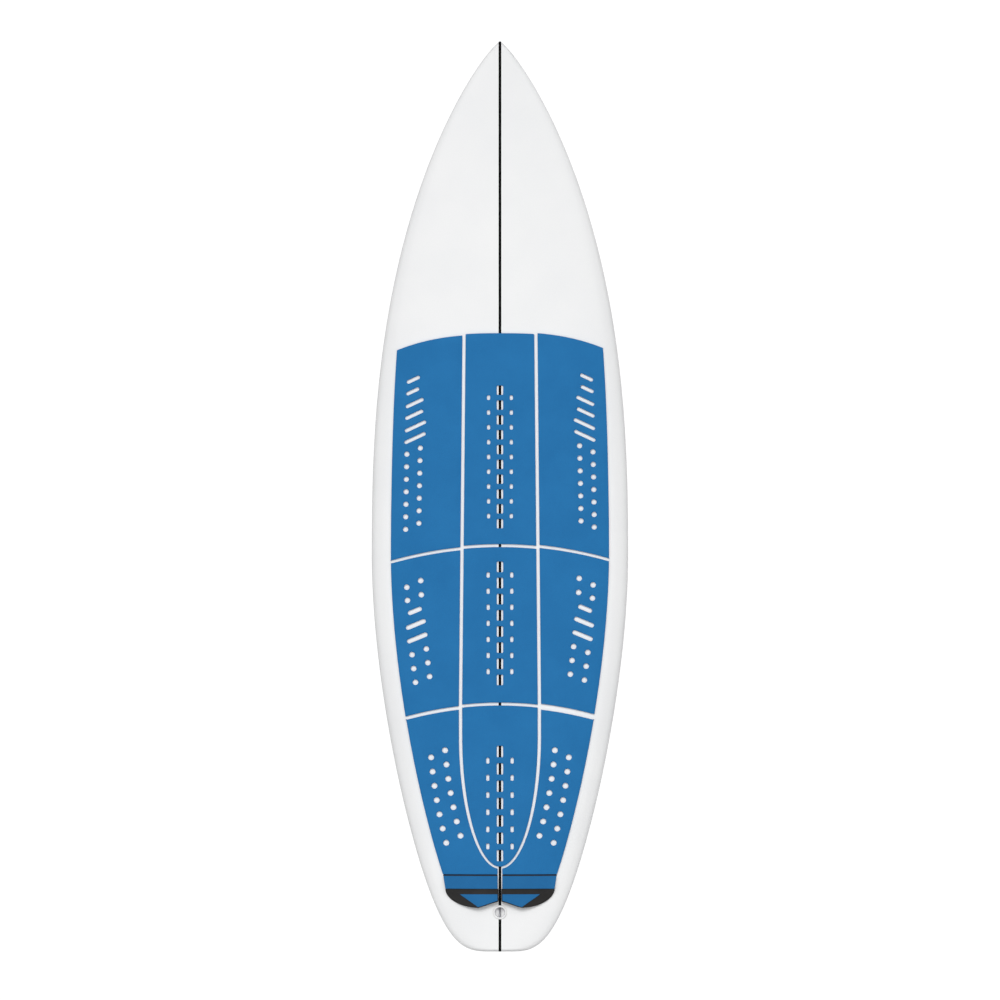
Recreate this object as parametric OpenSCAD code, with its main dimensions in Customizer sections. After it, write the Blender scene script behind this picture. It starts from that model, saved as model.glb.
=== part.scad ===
// Shortboard surfboard: foam core with a stringer, glass skins, nine-piece
// deck grip with a tail kick, leash plug and three removable fins.
// +Y points to the nose, X across, +Z up from the deck. The origin is on the
// ground plane under the middle of the board, fins down.

/* [Board] */
// Length from tail to nose
board_l = 1829; // [1780:1:1880]
// Greatest width
board_w = 518; // [500:1:530]
// Greatest thickness
board_t = 64; // [60:0.5:68]
// Lift of the bottom at the nose tip
nose_rocker = 125; // [105:1:140]
// Lift of the bottom at the tail end
tail_rocker = 60; // [50:1:65]
// Thickness of the glass skins
skin_t = 0.8; // [0.6:0.1:1.2]
// Thickness of the stringer
stringer_t = 5.5; // [3:0.5:6]

/* [Deck grip] */
// Thickness of a grip pad
pad_t = 5; // [3:0.5:6]
// Thickness of the adhesive film under it
film_t = 0.3; // [0.2:0.1:0.5]
// Bare gap between the pads of a row
pad_gap = 6.5; // [6:0.5:9]
// Height of the tail kick above the deck
kick_h = 24; // [20:1:28]

/* [Leash plug] */
// Outer diameter of the cup
cup_d = 28; // [28:0.5:30]
// Diameter of the recess
recess_d = 20; // [20:0.5:22]
// Depth of the recess
recess_h = 12; // [11:0.5:12.5]
// Diameter of the bar across the recess
bar_d = 4.4; // [4:0.1:5]

/* [Fins] */
// Depth of a fin below the board
fin_h = 115; // [105:1:120]
// Length of a fin's base
fin_base = 111; // [108:1:113]
// Thickness of a fin at its base
fin_t = 6.5; // [6.4:0.1:7]
// Outward lean of the side fins in degrees
fin_cant = 6; // [4:0.5:8]
// Inward aim of the side fins in degrees
fin_toe = 3; // [2:0.5:4]
// Depth of the tabs that enter the box
tab_h = 12; // [10:0.5:12]
// Play between a tab and its slot
tab_play = 0.08; // [0.05:0.01:0.1]

/* [Hidden] */
$fn = 48;

half_l = board_l / 2;
wide_y = -119;          // where the nose and tail curves of the outline meet
flat_y = -20;           // lowest point of the rocker
nose_tip_t = 12.8;      // thickness near the nose tip
tail_tip_t = 16.6;      // thickness near the tail end
nose_blunt = 1.5;       // the outline stops narrowing this far from the tip
STATIONS = 42;          // cross-sections along the board
LANES = 8;              // points from the stringer to a rail

// ---- Shape of the board ----
// Half-width at y: a fuller curve to the nose, a squash tail behind.
function nose_part(y) = pow(1 - pow((y - wide_y) / (half_l - wide_y), 2.5), 0.827);
function tail_part(y) = 1 - 0.578 * pow((wide_y - y) / (wide_y + half_l), 1.782);
function tail_corner(y) = pow(1 - exp(-(y + half_l + 0.3) / 66), 0.238);
function plan(y) = board_w / 2
    * (y > wide_y ? nose_part(min(y, half_l - nose_blunt)) : tail_part(y) * tail_corner(y));

function nose_share(y) = max(0, (y - flat_y) / (half_l - flat_y));
function tail_share(y) = max(0, (flat_y - y) / (half_l + flat_y));
function rocker(y) = nose_rocker * pow(nose_share(y), 2.4)
    + tail_rocker * pow(tail_share(y), 2.2);
function foil(y) = board_t - (board_t - nose_tip_t) * pow(nose_share(y), 2.2)
    - (board_t - tail_tip_t) * pow(tail_share(y), 1.9);
// The edge of the tail and the nose is rounded over this distance.
end_round = 6;
function end_close(y) =
    sqrt(1 - pow(1 - min((half_l - abs(y) + 0.3) / end_round, 1), 2));
// Share of the thickness that lies under the rail's edge.
function rail_share(y) = 0.4 + 0.1 * pow(nose_share(y), 2) - 0.25 * pow(tail_share(y), 1.5);
function rail_z(y) = rocker(y) + rail_share(y) * foil(y);
function dome(v) = pow(1 - pow(v, 2.4), 1 / 1.9);
function belly(v) = sqrt(1 - pow(v, 12));

// The same shape is used for the outside (inset 0) and for the foam
// (inset skin_t), so the skins and the foam share their faces.
function half_w(y, inset) = plan(y) - min(inset, plan(y) / 2);
function thick(y, inset) = let (t = foil(y) * end_close(y)) t - min(2 * inset, t / 2);
function share(x, y, inset) = min(1, abs(x) / half_w(y, inset));
function deck_z(x, y, inset = 0) = rail_z(y)
    + (1 - rail_share(y)) * thick(y, inset) * dome(share(x, y, inset));
function bottom_z(x, y, inset = 0) = rail_z(y)
    - rail_share(y) * thick(y, inset) * belly(share(x, y, inset));
function set_in(y, inset) = y * (1 - inset / half_l);
function station_y(i) = -half_l * cos(180 * i / STATIONS);
function stringer_x(y) = min(stringer_t / 2, plan(y) * 0.3);
function lane_x(j, y, inset) = let (c = stringer_x(y))
    c + sin(90 * j / LANES) * (half_w(y, inset) - c);
function right_lanes(y, inset) = [for (j = [0:LANES]) lane_x(j, y, inset)];
function left_lanes(y, inset) = [for (j = [LANES:-1:0]) -lane_x(j, y, inset)];
function all_lanes(y, inset) = concat(left_lanes(y, inset), right_lanes(y, inset));
function flip(list) = [for (k = [len(list) - 1:-1:0]) list[k]];
function last(list) = list[len(list) - 1];

// A closed solid through rings of points. Every ring runs left to right over
// the top and back along the bottom, and the rings run from tail to nose.
// flat_row says which row of the end rings is straight, 1 for the lower one
// and -1 for the upper one, so that the caps are cut away from that row.
module loft(rings, flat_row = -1) {
    n = len(rings[0]);
    m = len(rings);
    top = ceil((n - 3) / 2);
    function quad(a, b, c, d, k) = k <= top
        ? [[a, b, c], [a, c, d]] : [[a, b, d], [b, c, d]];
    function cap(k, o) = let (a = o + k, b = a + 1, c = o + n - 2 - k, d = c + 1)
        b == c ? [[a, b, d]]
        : flat_row * (k < top / 2 ? 1 : -1) > 0 ? [[a, b, d], [b, c, d]]
        : [[a, b, c], [a, c, d]];
    sides = [for (i = [0:m - 2], k = [0:n - 1]) let (q = (k + 1) % n)
        each quad(i * n + k, (i + 1) * n + k, (i + 1) * n + q, i * n + q, k)];
    first_cap = [for (k = [0:ceil(n / 2) - 2]) each cap(k, 0)];
    last_cap = [for (k = [0:ceil(n / 2) - 2]) each [for (f = cap(k, (m - 1) * n)) flip(f)]];
    polyhedron([for (r = rings) each r], concat(first_cap, sides, last_cap), convexity = 4);
}

// ---- Skins, foam and stringer ----
stations = [for (i = [0:STATIONS]) station_y(i)];
function is_end(y) = abs(y) > half_l - 0.01;

// A skin lies between the outside and the foam; at the two ends it closes
// onto the rail's line.
function deck_ring(y) = concat(
    [for (x = all_lanes(y, 0)) [x, y, deck_z(x, y)]],
    [for (x = flip(all_lanes(y, skin_t)))
        is_end(y) ? [x, y, rail_z(y)] : [x, set_in(y, skin_t), deck_z(x, y, skin_t)]]);
function bottom_ring(y) = concat(
    [for (x = all_lanes(y, skin_t))
        is_end(y) ? [x, y, rail_z(y)] : [x, set_in(y, skin_t), bottom_z(x, y, skin_t)]],
    [for (x = flip(all_lanes(y, 0))) [x, y, bottom_z(x, y)]]);
function deck_row(xs, y) = [for (x = xs) [x, set_in(y, skin_t), deck_z(x, y, skin_t)]];
function bottom_row(xs, y) = [for (x = xs) [x, set_in(y, skin_t), bottom_z(x, y, skin_t)]];
inner_stations = [for (i = [1:STATIONS - 1]) station_y(i)];
// The rail's own point belongs to the deck row only.
function foam_right_ring(y) = let (xs = right_lanes(y, skin_t))
    concat(deck_row(xs, y), bottom_row(flip([for (j = [0:LANES - 1]) xs[j]]), y));
function foam_left_ring(y) = let (xs = left_lanes(y, skin_t))
    concat(deck_row(xs, y), bottom_row(flip([for (j = [1:LANES]) xs[j]]), y));
function stringer_ring(y) = let (c = stringer_x(y))
    concat(deck_row([-c, c], y), bottom_row([c, -c], y));

module deck_glass() color("whitesmoke") raised() difference() {
    loft([for (y = stations) deck_ring(y)], 1);
    leash_place() cup_pocket();
}
module bottom_glass() color("whitesmoke") raised() difference() {
    loft([for (y = stations) bottom_ring(y)]);
    for (side = [-1:1]) box_place(side) box_body();
}
module foam_left() color("ivory") raised() difference() {
    loft([for (y = inner_stations) foam_left_ring(y)]);
    leash_place() cup_pocket();
    for (side = [-1:0]) box_place(side) box_body();
}
module foam_right() color("ivory") raised() difference() {
    loft([for (y = inner_stations) foam_right_ring(y)]);
    leash_place() cup_pocket();
    for (side = [0:1]) box_place(side) box_body();
}
module stringer() color("black") raised() difference() {
    loft([for (y = inner_stations) stringer_ring(y)]);
    leash_place() cup_pocket();
    box_place(0) box_body();
}

// ---- Deck grip ----
// Edges of the three rows at the distance d from the stringer.
row_gap = 6;
tail_side_gap = 9.5;  // the tail's side pads stand further back than its centre
// The side pads of the front and middle rows are laid this much further
// forward on the right, and back on the left.
side_lead = 2.3;
function front_top(d) = 331 - 28.7 * pow(abs(d) / 200, 2.6);
function front_bottom(d) = -93.6 - d * d / 1560;
function mid_top(d) = front_bottom(d) - row_gap;
function mid_bottom(d) = -412.7 - d * d / 1380;
function tail_top(d) = mid_bottom(d) - row_gap;
function tail_side_top(d) = mid_bottom(d) - tail_side_gap;
groove_y = -760;      // crease where the kick begins
groove_w = 3;
kick_gap = 4.5;       // half of the gap between the tail's side pads
function row_top(row, d) = [front_top(d), mid_top(d), tail_top(d)][row];
function row_bottom(row, d) = [front_bottom(d), mid_bottom(d)][row];
// Outer edge, nearly parallel to the rail and closer to it at the front.
function pad_edge(y) = plan(y) - 39 + 10 * pow((max(y, -20) + 20) / 315, 2);
// Middle of the lengthwise gap beside the centre pads.
function lane_gap(y) = 75.4 + (9 - y) * 0.0096;
bowl_y = -480;        // the tail's centre pad ends in half an ellipse from here
bowl_w = 79.4;
bowl_l = 265;
function bowl(angle, grow) =    // its gap is narrower at the bottom
    [(bowl_w + grow) * cos(angle), bowl_y - (bowl_l + 0.7 * grow) * sin(angle)];

function steps(a, b, n) = [for (i = [0:n]) a + (b - a) * i / n];
function inner(list) = [for (i = [1:len(list) - 2]) list[i]];
function mirror_x(list) = [for (p = flip(list)) [-p[0], p[1]]];

function centre_outline(row) = let (
        side = [for (y = [row_top(row, 72), row_bottom(row, 72)]) lane_gap(y) - pad_gap / 2],
        top = [for (x = steps(-side[0], side[0], 6)) [x, row_top(row, x)]],
        bottom = [for (x = steps(side[1], -side[1], 6)) [x, row_bottom(row, x)]])
    concat(top, bottom);
function side_outline(row) = let (
        inside = [for (y = [row_top(row, 80), row_bottom(row, 80)]) lane_gap(y) + pad_gap / 2],
        outside = [for (y = [row_top(row, 205), row_bottom(row, 205)]) pad_edge(y)],
        top = [for (x = steps(inside[0], outside[0], 5)) [x, row_top(row, x)]],
        edge = [for (y = inner(steps(last(top)[1], row_bottom(row, outside[1]), 7)))
            [pad_edge(y), y]],
        bottom = [for (x = steps(outside[1], inside[1], 5)) [x, row_bottom(row, x)]])
    concat(top, edge, bottom);
function tail_centre_outline() = let (w = bowl_w - pad_gap / 2)
    concat([for (x = steps(-w, w, 6)) [x, tail_top(x)]],
        [for (a = steps(0, 180, 22)) bowl(a, -pad_gap / 2)]);
// The side pads of the tail meet behind the bowl, beside the stringer.
bowl_end = acos(kick_gap / (bowl_w + pad_gap / 2));
function tail_inner_edge() = [for (a = steps(bowl_end, 0, 12)) bowl(a, pad_gap / 2)];
function tail_outer_edge(y_end) = let (first = tail_side_top(186))
    [for (y = steps(first, y_end, 9)) [pad_edge(y), y]];
function tail_top_edge() = let (w = bowl_w + pad_gap / 2)
    inner([for (x = steps(w, pad_edge(tail_side_top(186)), 5)) [x, tail_side_top(x)]]);
function tail_side_outline(y_end) = concat(
    tail_inner_edge(), [[bowl_w + pad_gap / 2, tail_side_top(bowl_w)]], tail_top_edge(),
    tail_outer_edge(y_end), [[kick_gap, y_end]]);

// Kick: a straight side, an outer corner as a quarter of an ellipse, then a
// shallow wave to the middle. Its raised part comes closer to the stringer.
slope_top_y = -787;
band_top_y = -796.5;
core_gap = 3;
corner_y = -787;
corner_x = 44;
rear_y = -825;
middle_y = -812.5;
function kick_side(y) = pad_edge(groove_y) + 0.16 * (y - groove_y);
function kick_edge(y_start) = concat(
    [for (y = [y_start, corner_y]) [kick_side(y), y]],
    [for (a = inner(steps(0, 90, 8)))
        [corner_x + (kick_side(corner_y) - corner_x) * cos(a),
         corner_y + (rear_y - corner_y) * sin(a)]],
    [for (t = steps(0, 1, 6))
        [corner_x + (core_gap - corner_x) * t,
         rear_y + (middle_y - rear_y) * (0.75 * t + 0.125 * (1 - cos(180 * t)))]]);

// Slots and dots cut through the pads.
module slot_2d(length, width) {
    square([length - width, width], center = true);
    for (end = [-1, 1]) translate([end * (length - width) / 2, 0]) circle(d = width);
}
// A rectangle with small round corners.
window_r = 2.4;
module window_2d(width, length) {
    square([width - 2 * window_r, length], center = true);
    square([width, length - 2 * window_r], center = true);
    for (x = [-1, 1], y = [-1, 1])
        translate([x * (width / 2 - window_r), y * (length / 2 - window_r)]) circle(window_r);
}
// A slanted slot whose outer end lies a fixed distance inside the pad's edge.
module slanted(y, length, width, tilt, margin = 24) {
    x = pad_edge(y) - margin - length / 2 * cos(tilt);
    translate([x, y]) rotate(-tilt) slot_2d(length, width);
}
module dots(count, x0, y0, pitch, diameter, bend = [0, 0]) {
    for (k = [0:count - 1])
        translate([x0 - bend[0] * k - bend[1] * k * k, y0 - pitch * k]) circle(d = diameter);
}
module edge_dots(count, margin, y0, pitch, diameter) {
    for (k = [0:count - 1]) let (y = y0 - pitch * k)
        translate([pad_edge(y) - margin, y]) circle(d = diameter);
}
module side_holes(row) {
    if (row == 0) {
        for (k = [0:5]) slanted(239.9 - 23.5 * k, [28.5, 39.5, 47][floor(k / 2)], 7.2, 25);
        edge_dots(7, 56.4, 102.4, 25.25, 10.5);
        edge_dots(7, 29.7, 90, 25.25, 10.5);
    }
    if (row == 1) {
        edge_dots(2, 59.3, -164.8, 28.4, 11.3);
        edge_dots(2, 30.7, -178.2, 26.5, 11.3);
        for (k = [0:2]) slanted(-226 - 27.2 * k, [30, 43, 44][k], 9, 22.5, [30.4, 24.3, 24.3][k]);
        edge_dots(3, 60.6, -302.3, 27.8, 11.3);
        edge_dots(3, 30.6, -314.2, 27.8, 11.3);
    }
    if (row == 2) {
        dots(7, 110.6, -508.8, 28.65, 12, [2.3, 0.48]);
        dots(7, 138.7, -523.2, 28.65, 12, [2.5, 0.43]);
    }
}
// Windows in the centre pad of each row: [over the stringer, first y, pitch,
// length, beside it, first y, pitch, length, distance across]
centre_rows = [
    [10, 216.2, 29.85, 19, 9, 201.3, 29.8, 9.5, 22.9],
    [8, -139.4, 32.55, 21.5, 7, -155.8, 32.4, 11, 23.8],
    [7, -511.3, 34.9, 23, 6, -529.8, 34.5, 12, 24.5]
];
slot_w = 12.8;
dash_w = 6.4;
module centre_holes(row) {
    r = centre_rows[row];
    for (k = [0:r[0] - 1]) translate([0, r[1] - r[2] * k]) window_2d(slot_w, r[3]);
    for (k = [0:r[4] - 1], side = [-1, 1])
        translate([side * r[8], r[5] - r[6] * k]) window_2d(dash_w, r[7]);
}
module centre_shape(row) difference() {
    polygon(row == 2 ? tail_centre_outline() : centre_outline(row));
    centre_holes(row);
}
module side_shape(row, y_end = groove_y + groove_w / 2) difference() {
    polygon(row == 2 ? tail_side_outline(y_end) : side_outline(row));
    side_holes(row);
}
module kick_shape(y_start) polygon(concat([[kick_gap, y_start]], kick_edge(y_start),
    [for (x = [core_gap, kick_gap]) [x, slope_top_y - 1]]));

// A layer that follows the deck between two heights above it. It uses the
// board's own stations, so its faces lie on the deck's faces.
function slab_ring(y, low, high) = concat(
    [for (x = all_lanes(y, 0)) [x, y, deck_z(x, y) + high]],
    [for (x = flip(all_lanes(y, 0))) [x, y, deck_z(x, y) + low]]);
function covering(y_low, y_high) = [for (i = [1:STATIONS - 1])
    if (station_y(i + 1) > y_low && station_y(i - 1) < y_high) station_y(i)];
row_span = [[-130, 335], [-450, -95], [-835, -415]];
module layer(row, low, high)
    loft([for (y = covering(row_span[row][0], row_span[row][1])) slab_ring(y, low, high)]);
module cut_layer(row, low, high) intersection() {
    layer(row, low, high);
    linear_extrude(300) children();
}
module pad(row) raised() cut_layer(row, film_t, film_t + pad_t) children();
module on_side(side) mirror([side < 0 ? 1 : 0, 0, 0]) children();
module laid_side(side, row)
    translate([0, row == 2 ? 0 : side * side_lead]) on_side(side) side_shape(row);

module grip_colour() color("steelblue") children();
module front_pad_left() grip_colour() pad(0) laid_side(-1, 0);
module front_pad_centre() grip_colour() pad(0) centre_shape(0);
module front_pad_right() grip_colour() pad(0) laid_side(1, 0);
module mid_pad_left() grip_colour() pad(1) laid_side(-1, 1);
module mid_pad_centre() grip_colour() pad(1) centre_shape(1);
module mid_pad_right() grip_colour() pad(1) laid_side(1, 1);
module tail_pad_left() grip_colour() pad(2) laid_side(-1, 2);
module tail_pad_centre() grip_colour() pad(2) centre_shape(2);
module tail_pad_right() grip_colour() pad(2) laid_side(1, 2);

module film(row) color("lightgrey") raised() cut_layer(row, 0, film_t) {
    centre_shape(row);
    for (side = [-1, 1]) laid_side(side, row);
    if (row == 2) for (side = [-1, 1]) on_side(side) kick_shape(groove_y + groove_w / 2);
}
module front_adhesive() film(0);
module mid_adhesive() film(1);
module tail_adhesive() film(2);

// Kick: a wedge with a facing on its slope and a cap on its top.
facing_t = 3;
cap_inset = 1.8;
kick_lines = [groove_y + 6, groove_y, slope_top_y, band_top_y, rear_y - 5];
function core_h(y) = lookup(y, [
    [rear_y, kick_h - facing_t], [band_top_y, kick_h - facing_t - 2],
    [slope_top_y, kick_h * 0.45], [groove_y, film_t + pad_t - facing_t]]);
module kick_layer(low, high)
    loft([for (y = flip(kick_lines)) slab_ring(y, low < 0 ? low : core_h(y), core_h(y) + high)]);
bevel_out = [82, band_top_y];   // the cap's slanted outer side runs from here
bevel_in = [46, -823];          // to here
bevel_slope = 38;
// Everything beyond the cap's slanted side is bevelled down to the outline.
module bevel() {
    run = bevel_out - bevel_in;
    translate([bevel_in[0], bevel_in[1], deck_z(60, -810) + kick_h - facing_t - 1])
        rotate([0, 0, atan2(run[1], run[0])]) rotate([-bevel_slope, 0, 0])
        translate([-60, -80, 0]) cube([160, 80, 40]);
}
module kick_core(side) color("black") raised() difference() {
    intersection() {
        layer(2, film_t, 60);
        kick_layer(-8, 0);
        linear_extrude(300) on_side(side) kick_shape(groove_y + groove_w / 2);
    }
    on_side(side) bevel();
}
module kick_face(side) grip_colour() raised() intersection() {
    kick_layer(0, facing_t);
    linear_extrude(300) on_side(side) intersection() {
        kick_shape(groove_y - groove_w / 2);
        translate([0, slope_top_y]) square([200, 60]);
    }
}
module kick_top(side) grip_colour() raised() intersection() {
    kick_layer(0, facing_t);
    linear_extrude(300) on_side(side) polygon([[core_gap + cap_inset, band_top_y - 1],
        bevel_out - [1, 1], bevel_in, [core_gap + cap_inset, middle_y + cap_inset]]);
}
module kick_core_left() kick_core(-1);
module kick_core_right() kick_core(1);
module kick_face_left() kick_face(-1);
module kick_face_right() kick_face(1);
module kick_top_left() kick_top(-1);
module kick_top_right() kick_top(1);

// ---- Leash plug ----
leash_y = -835;
cup_h = recess_h + 3.5;
bar_depth = 4.6;
leash_pitch = atan((deck_z(0, leash_y + 10) - deck_z(0, leash_y - 10)) / 20);
module leash_place()
    translate([0, leash_y, deck_z(0, leash_y)]) rotate([leash_pitch, 0, 0]) children();
module cup_pocket() translate([0, 0, -cup_h]) cylinder(d = cup_d, h = cup_h + 5);
module bar_shape(diameter, length)
    translate([0, 0, -bar_depth]) rotate([90, 0, 0]) cylinder(d = diameter, h = length, center = true);
module leash_cup() color("gainsboro") raised() leash_place() difference() {
    translate([0, 0, -cup_h]) cylinder(d = cup_d, h = cup_h);
    translate([0, 0, -recess_h]) cylinder(d = recess_d, h = recess_h + 1);
    bar_shape(bar_d + 0.1, 25.2);
}
module leash_bar() color("grey") raised() leash_place() bar_shape(bar_d, 25);

// ---- Fin boxes and screws ----
box_l = 130;
box_w = 29;
box_h = 18;
slot_t = 6;
slot_l = 33;
slot_y = [20, 91];        // middles of the two slots, from the fin's rear end
box_y = fin_base / 2;
side_rear_s = 290;        // rear ends of the fins, from the tail
centre_rear_s = 106;
rail_margin = 32;         // from the rail to a side fin's rear end
function fin_rear_y(side) = -half_l + (side == 0 ? centre_rear_s : side_rear_s);
function fin_x(side) = side * (plan(fin_rear_y(side)) - rail_margin);
function fin_pitch(side) = let (x = fin_x(side), y = fin_rear_y(side))
    atan((bottom_z(x, y + fin_base) - bottom_z(x, y)) / fin_base);
function fin_roll(side) = let (x = fin_x(side), y = fin_rear_y(side) + box_y)
    -atan((bottom_z(x + 10, y) - bottom_z(x - 10, y)) / 20);
function toe(side) = side * fin_toe;
function cant(side) = side * fin_cant;
// The box's own frame: y forward from the fin's rear end, z into the board.
module box_place(side)
    translate([fin_x(side), fin_rear_y(side), bottom_z(fin_x(side), fin_rear_y(side))])
        rotate([fin_pitch(side), 0, 0]) rotate([0, fin_roll(side), 0])
        rotate([0, 0, toe(side)]) children();
module box_body() translate([0, box_y, -4]) linear_extrude(box_h + 4)
    rotate(90) slot_2d(box_l, box_w);
// A tab or its slot, leaning with the fin.
module tabs(side, grow, depth) rotate([0, -cant(side), 0])
    for (y = slot_y) translate([0, y, -6]) linear_extrude(depth + 6)
        rotate(90) slot_2d(slot_l + 2 * grow, slot_t + 2 * grow);
screw_d = 4;
screw_l = 5;
screw_tilt = 35;
screw_tip = [4.8, 8.6];   // across and up from the slot's middle
module screw_place(side) rotate([0, -cant(side), 0]) for (y = slot_y)
    translate([screw_tip[0], y, screw_tip[1]]) rotate([0, -screw_tilt, 0])
        translate([0, 0, -screw_l]) children();
module fin_box(side) color("lightgrey") raised() difference() {
    intersection() {
        box_place(side) box_body();
        bottom_layer(side);
    }
    box_place(side) tabs(side, tab_play, tab_h + 0.5);
    box_place(side) screw_place(side) translate([0, 0, -15])
        cylinder(d = screw_d + 0.1, h = screw_l + 15.2);
}
// Cuts the box flush with the bottom.
function bottom_slab_ring(y) = concat(
    [for (x = all_lanes(y, 0)) [x, y, bottom_z(x, y) + 40]],
    [for (x = flip(all_lanes(y, 0))) [x, y, bottom_z(x, y)]]);
module bottom_layer(side) let (y = fin_rear_y(side))
    loft([for (y = covering(y - 20, y + box_l)) bottom_slab_ring(y)]);
module fin_box_left() fin_box(-1);
module fin_box_centre() fin_box(0);
module fin_box_right() fin_box(1);
module fin_screws() color("silver") raised() for (side = [-1:1])
    box_place(side) screw_place(side) difference() {
        cylinder(d = screw_d, h = screw_l);
        translate([0, 0, -1]) cylinder(d = 2.3, h = 3, $fn = 6);
    }

// ---- Fins ----
fin_gap = 0.5;            // between the fin's base and the board
fin_reach = 22;           // how far the tip trails behind the base
FIN_RINGS = 14;
FIN_POINTS = 9;
function fin_front(t) = -fin_reach + (fin_base + fin_reach) * pow(1 - t, 0.57);
function fin_rear(t) = 3 * sin(180 * t) - fin_reach * pow(t, 2.2);
function fin_thick(t) = fin_t * (1 - 0.75 * t);
// Thickness from the trailing edge (0) to the leading edge (1).
function foil_share(c) = 0.1 + 0.9 * sqrt(1 - c) * c / 0.385;
function fin_depth(i) = sin(88.5 * i / FIN_RINGS);
// The inside face of a side fin is flat, and the centre fin is the same on
// both sides.
function fin_point(side, face, t, c) = let (
        bulge = face == -side ? 0 : (side == 0 ? 0.5 : 1) * foil_share(c) * fin_thick(t),
        flat = side == 0 ? 0 : -side * fin_thick(t) / 2,
        z = -fin_gap - t * (fin_h - fin_gap))
    [flat + (side == 0 ? face : side) * bulge - z * tan(cant(side)),
     fin_rear(t) + (fin_front(t) - fin_rear(t)) * c, z];
function fin_ring(side, t) = concat(
    [for (k = [0:FIN_POINTS]) fin_point(side, -1, t, (1 - cos(180 * k / FIN_POINTS)) / 2)],
    [for (k = [FIN_POINTS:-1:0]) fin_point(side, 1, t, (1 - cos(180 * k / FIN_POINTS)) / 2)]);
module fin(side) color("dimgrey") raised() box_place(side) {
    loft([for (i = [0:FIN_RINGS]) fin_ring(side, fin_depth(i))]);
    difference() {
        tabs(side, 0, tab_h);
        translate([-50, -50, -100 - fin_gap]) cube([100, 250, 100]);
    }
}
module fin_left() fin(-1);
module fin_centre() fin(0);
module fin_right() fin(1);

// ---- Height of the whole board, so that the lowest fin tip is at z = 0 ----
function fin_world_z(side, p) = let (
        x = p[0] * cos(toe(side)) - p[1] * sin(toe(side)),
        y = p[0] * sin(toe(side)) + p[1] * cos(toe(side)),
        z = p[2] * cos(fin_roll(side)) - x * sin(fin_roll(side)))
    bottom_z(fin_x(side), fin_rear_y(side)) + y * sin(fin_pitch(side)) + z * cos(fin_pitch(side));
lowest = min([for (side = [-1:1], i = [0:FIN_RINGS], p = fin_ring(side, fin_depth(i)))
    fin_world_z(side, p)]);
module raised() translate([0, 0, -lowest]) children();

foam_left();
foam_right();
stringer();
deck_glass();
bottom_glass();
front_pad_left();
front_pad_centre();
front_pad_right();
mid_pad_left();
mid_pad_centre();
mid_pad_right();
tail_pad_left();
tail_pad_centre();
tail_pad_right();
kick_core_left();
kick_core_right();
kick_face_left();
kick_face_right();
kick_top_left();
kick_top_right();
front_adhesive();
mid_adhesive();
tail_adhesive();
leash_cup();
leash_bar();
fin_box_left();
fin_box_centre();
fin_box_right();
fin_screws();
fin_left();
fin_centre();
fin_right();
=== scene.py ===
import math

import bmesh
import bpy
import numpy as np
from mathutils import Matrix, Vector
from mathutils.geometry import delaunay_2d_cdt


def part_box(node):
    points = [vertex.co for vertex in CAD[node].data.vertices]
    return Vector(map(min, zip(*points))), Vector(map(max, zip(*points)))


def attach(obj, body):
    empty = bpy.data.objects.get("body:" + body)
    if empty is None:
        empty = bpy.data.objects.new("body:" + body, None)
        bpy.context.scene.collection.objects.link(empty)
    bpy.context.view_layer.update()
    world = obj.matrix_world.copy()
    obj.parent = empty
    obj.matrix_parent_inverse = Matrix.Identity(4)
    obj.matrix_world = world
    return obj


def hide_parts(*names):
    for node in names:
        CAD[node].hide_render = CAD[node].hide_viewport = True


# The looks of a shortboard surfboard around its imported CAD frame, in metres:
# +Y to the nose, +X across the deck, +Z up. The skins, the deck grip, the
# leash plug and the fins are built here at high resolution from the same
# formulas as the CAD; the fin boxes, screws, foam and stringer stay as CAD.
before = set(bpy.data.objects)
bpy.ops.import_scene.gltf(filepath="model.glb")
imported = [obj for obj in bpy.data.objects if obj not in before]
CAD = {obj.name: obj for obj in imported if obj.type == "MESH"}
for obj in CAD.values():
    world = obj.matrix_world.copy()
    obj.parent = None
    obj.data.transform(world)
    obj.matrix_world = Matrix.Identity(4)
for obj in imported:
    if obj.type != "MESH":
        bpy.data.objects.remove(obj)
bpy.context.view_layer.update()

# ---------------------------------------------------------------- board sizes
HALF_L = 1.829 / 2
HALF_W = 0.518 / 2
THICKNESS = 0.064
NOSE_ROCKER, TAIL_ROCKER = 0.125, 0.060
NOSE_TIP_T, TAIL_TIP_T = 0.0128, 0.0166
SKIN_T = 0.0008
WIDE_Y = -0.119  # where the nose and tail curves of the outline meet
FLAT_Y = -0.020  # lowest point of the rocker
NOSE_BLUNT = 0.0015  # over this last stretch the outline gets no narrower
END_ROUND = 0.006  # the nose and tail edges are rounded over this distance
STRINGER_HALF = 0.00275
PROBE = 0.01  # slopes are measured over this distance to either side
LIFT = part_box("bottom_glass")[0].z  # height of the bottom's lowest point


# ------------------------------------------------------- shape of the board
def plan(y):
    """Half-width of the outline at y: two power curves, with rounded tail corners."""
    y = np.asarray(y, float)
    u = np.clip((np.minimum(y, HALF_L - NOSE_BLUNT) - WIDE_Y) / (HALF_L - WIDE_Y), 0, 1)
    nose = (1 - u**2.5) ** 0.827
    t = np.clip((WIDE_Y - y) / (WIDE_Y + HALF_L), 0, 1)
    corner = (1 - np.exp(-np.maximum(y + HALF_L + 0.0003, 0) / 0.066)) ** 0.238
    return HALF_W * np.where(y > WIDE_Y, nose, (1 - 0.578 * t**1.782) * corner)


def nose_share(y):
    """How far y lies from the rocker's lowest point towards the nose, 0 to 1."""
    return np.maximum(0, (y - FLAT_Y) / (HALF_L - FLAT_Y))


def tail_share(y):
    """How far y lies from the rocker's lowest point towards the tail, 0 to 1."""
    return np.maximum(0, (FLAT_Y - y) / (HALF_L + FLAT_Y))


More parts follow.
